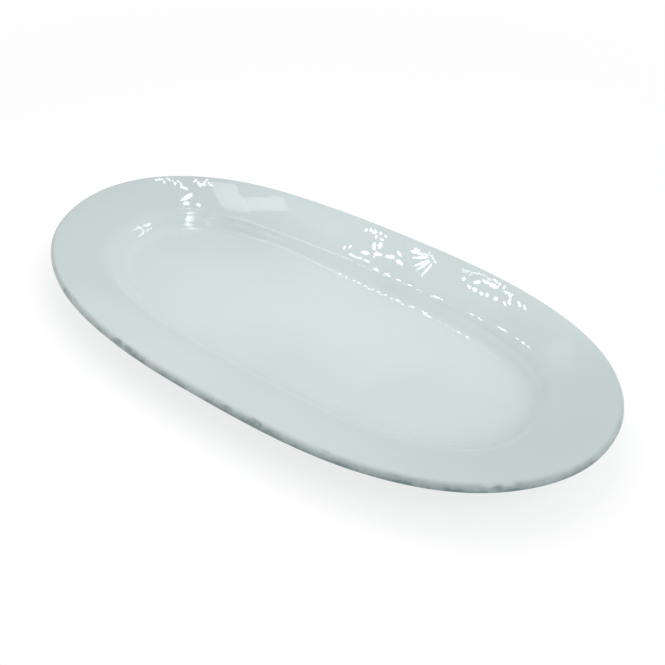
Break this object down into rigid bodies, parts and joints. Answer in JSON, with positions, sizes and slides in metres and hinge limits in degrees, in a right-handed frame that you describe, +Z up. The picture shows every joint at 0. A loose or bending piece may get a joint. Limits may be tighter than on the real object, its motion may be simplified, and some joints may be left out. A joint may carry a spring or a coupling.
{
  "type": "oval serving platter",
  "caption": "Oval glazed ceramic serving platter with a flat well, a soft shoulder, a wide plain flange rising to a rounded lip, and a low bare foot ring.",
  "frame": {"origin": "centre of the foot ring's bearing face, on the surface that the platter stands on", "axes": "+X along the platter's length, +Y across it, +Z up out of the well"},
  "size_m": [0.356, 0.178, 0.0283],
  "materials": {
    "fired_clay": "bare fired clay, fine matt grain",
    "glaze": "glossy pale blue-green white glaze"
  },
  "bodies": {
    "root": {"clay_body": "fired_clay", "glaze_coat": "glaze", "base_glaze": "glaze"}
  },
  "joints": []
}
